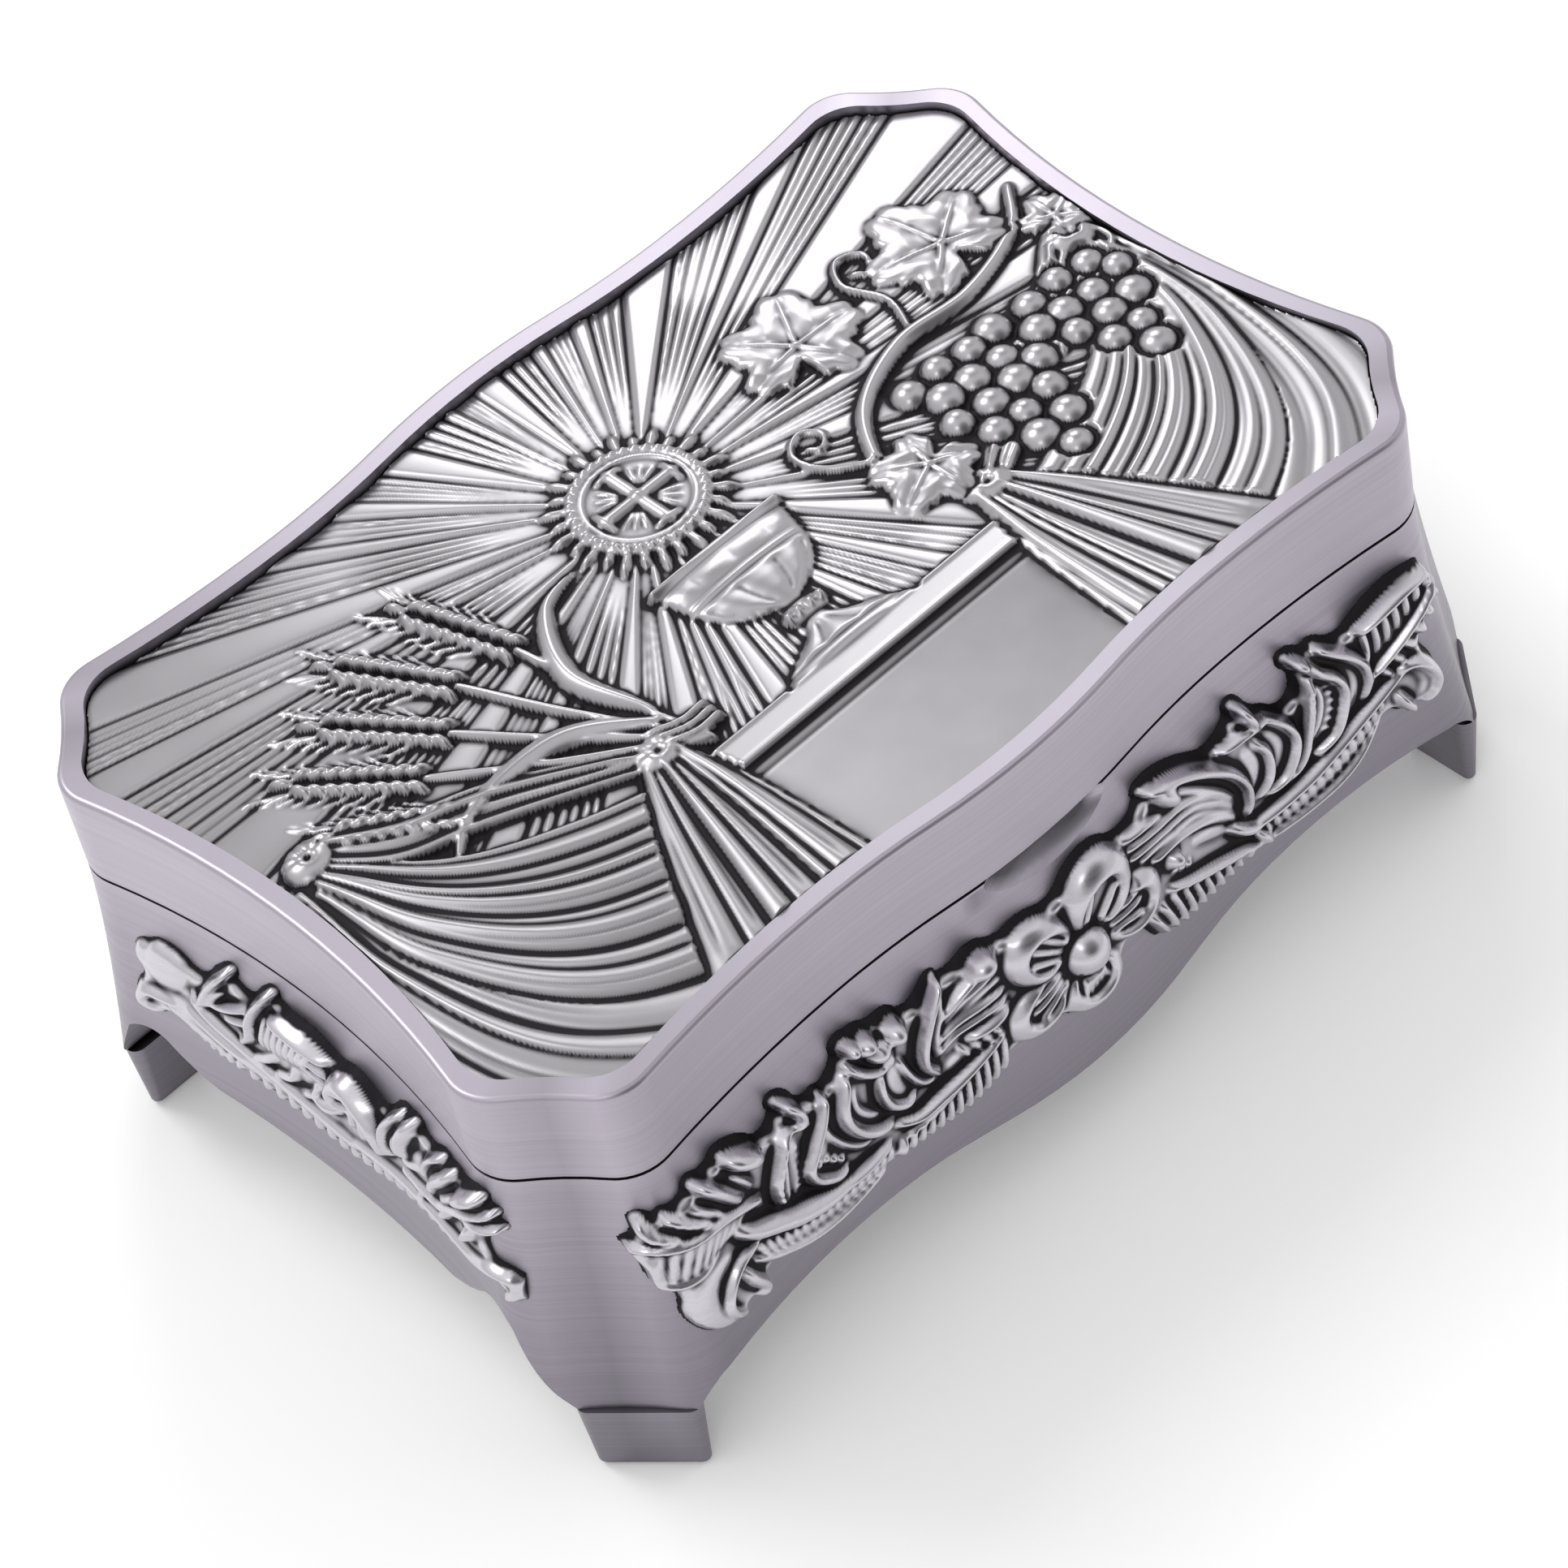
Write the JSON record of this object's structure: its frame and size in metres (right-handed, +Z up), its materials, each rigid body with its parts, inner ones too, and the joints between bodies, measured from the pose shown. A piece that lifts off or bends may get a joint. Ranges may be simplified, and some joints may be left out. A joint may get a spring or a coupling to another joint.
{
  "type": "rosary box",
  "caption": "Footed cast-metal rosary box in antiqued silver: hinged lid with a framed relief panel, scrolling floral castings on its walls, a thumb notch and a velvet lining.",
  "frame": {"origin": "on the ground under the middle of the box, at the feet's undersides", "axes": "+X to the right along the long front, +Y from the front with its thumb notch to the hinged back, +Z up"},
  "size_m": [0.1062, 0.0764, 0.0436],
  "materials": {
    "antique_silver": "antiqued silver plate on cast zinc alloy, brushed, with dark patina in the hollows",
    "hinge_metal": "antiqued silver plate, satin",
    "screw_metal": "plain, satin",
    "floor_sheet": "dull sheet metal",
    "backing_board": "stiff fibre board",
    "velvet": "short-pile velvet"
  },
  "bodies": {
    "base": {"body_casting": "antique_silver", "foot_front_left": "antique_silver", "foot_front_right": "antique_silver", "foot_back_left": "antique_silver", "foot_back_right": "antique_silver", "foot_screws": "screw_metal", "floor_plate": "floor_sheet", "floor_screws": "screw_metal", "floor_pad": "velvet", "lining_front": "velvet", "lining_back": "velvet", "lining_left": "velvet", "lining_right": "velvet", "hinge_left_base_leaf": "hinge_metal", "hinge_right_base_leaf": "hinge_metal", "hinge_left_pin": "hinge_metal", "hinge_right_pin": "hinge_metal", "hinge_base_screws": "screw_metal", "ornament_front": "antique_silver", "ornament_back": "antique_silver", "ornament_left": "antique_silver", "ornament_right": "antique_silver"},
    "lid": {"lid_frame": "antique_silver", "lid_relief_plate": "antique_silver", "lid_board": "backing_board", "lid_pad": "velvet", "hinge_left_lid_leaf": "hinge_metal", "hinge_right_lid_leaf": "hinge_metal", "hinge_lid_screws": "screw_metal"}
  },
  "joints": [
    {"name": "lid_hinge", "type": "hinge", "parent": "base", "child": "lid", "pos_m": [0, 0.0346, 0.0334], "axis": [-1, 0, 0], "range_deg": [0, 100]}
  ]
}
